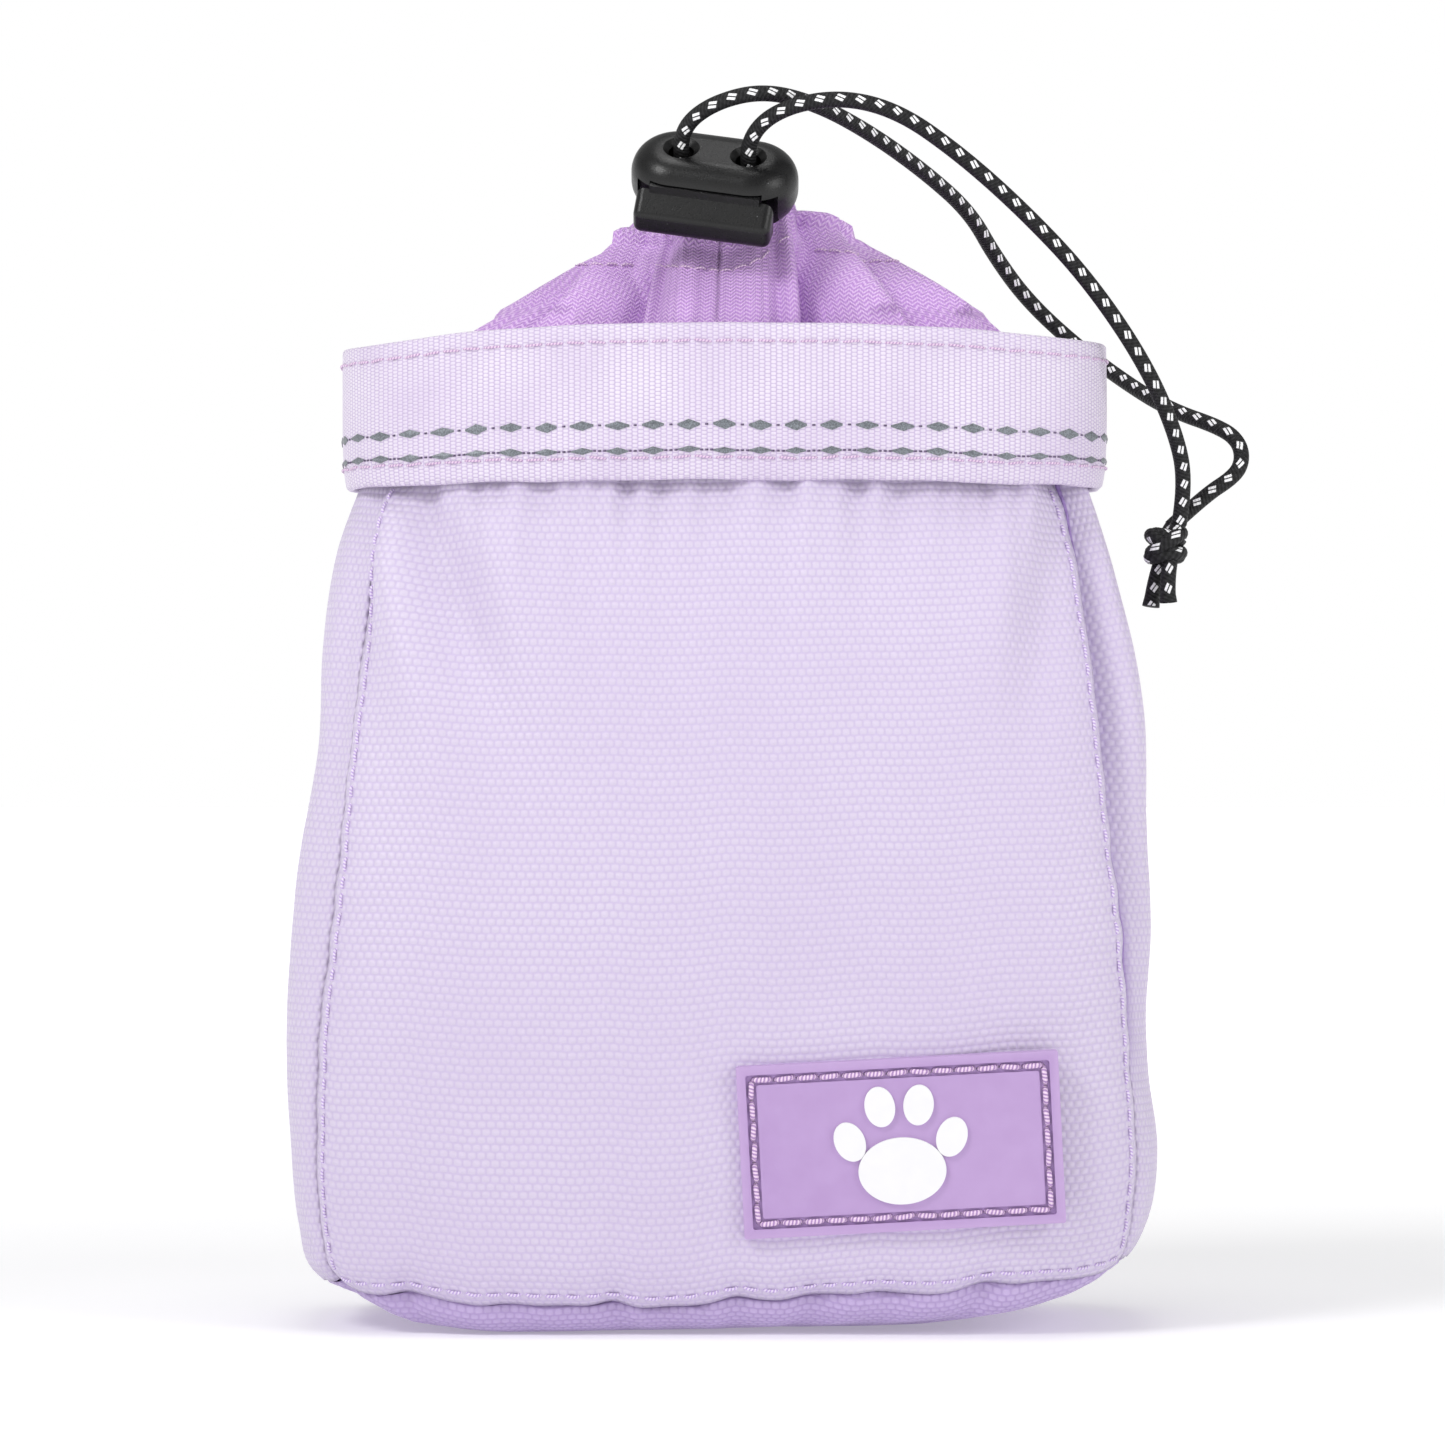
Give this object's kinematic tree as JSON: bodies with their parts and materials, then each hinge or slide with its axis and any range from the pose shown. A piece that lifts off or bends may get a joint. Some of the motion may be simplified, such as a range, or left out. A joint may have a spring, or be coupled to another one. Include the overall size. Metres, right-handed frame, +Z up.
{
  "type": "treat pouch",
  "caption": "Soft drawstring treat pouch with a webbing rim, gathered collar, cord lock on elastic cord, rubber patch and a belt loop on its back.",
  "frame": {"origin": "centre of the flat base, on the surface the pouch stands on", "axes": "+Z up through the mouth, -Y to the front with the patch, +X to the side where the cords hang"},
  "size_m": [0.154, 0.0735, 0.1951],
  "materials": {
    "body_fabric": "coated woven polyester with an embossed pebble, soft sheen",
    "lining_fabric": "thin smooth nylon",
    "webbing": "ribbed polyester webbing with reflective tracer yarn",
    "collar_fabric": "fine zig-zag woven polyester, slight sheen",
    "elastic_cord": "black braided elastic with white flecks",
    "lock_plastic": "black moulded nylon with a fine satin grain",
    "spring_steel": "drawn spring wire",
    "patch_rubber": "soft moulded rubber, satin",
    "emblem_rubber": "white soft rubber, satin",
    "thread": "pinkish lilac polyester sewing thread",
    "patch_thread": "pink lilac twisted sewing thread"
  },
  "bodies": {
    "pouch": {"front_panel": "body_fabric", "back_panel": "body_fabric", "left_gusset": "body_fabric", "right_gusset": "body_fabric", "base_panel": "body_fabric", "lining_wall": "lining_fabric", "lining_base": "lining_fabric", "rim_band": "webbing", "rim_top_stitches": "thread", "rim_bottom_stitches": "thread", "collar_left": "collar_fabric", "collar_right": "collar_fabric", "channel_cord": "elastic_cord", "cord_left": "elastic_cord", "cord_right": "elastic_cord", "end_knot": "elastic_cord", "cord_tails": "elastic_cord", "patch_base": "patch_rubber", "patch_emblem": "emblem_rubber", "patch_stitches": "patch_thread", "belt_loop": "webbing", "belt_loop_stitches": "thread"},
    "cord_lock": {"lock_body": "lock_plastic", "lock_spring": "spring_steel"},
    "press_button": {"lock_button": "lock_plastic"}
  },
  "joints": [
    {"name": "lock_slide", "type": "slide", "parent": "pouch", "child": "cord_lock", "axis": [0, -0.6428, 0.766], "range_m": [0, 0.004]},
    {"name": "button_press", "type": "slide", "parent": "cord_lock", "child": "press_button", "axis": [0.225, 0.7464, 0.6263], "range_m": [0, 0.0029], "stiffness_N_per_m": 400, "springref_m": -0.004, "deforming": ["lock_spring"]}
  ]
}
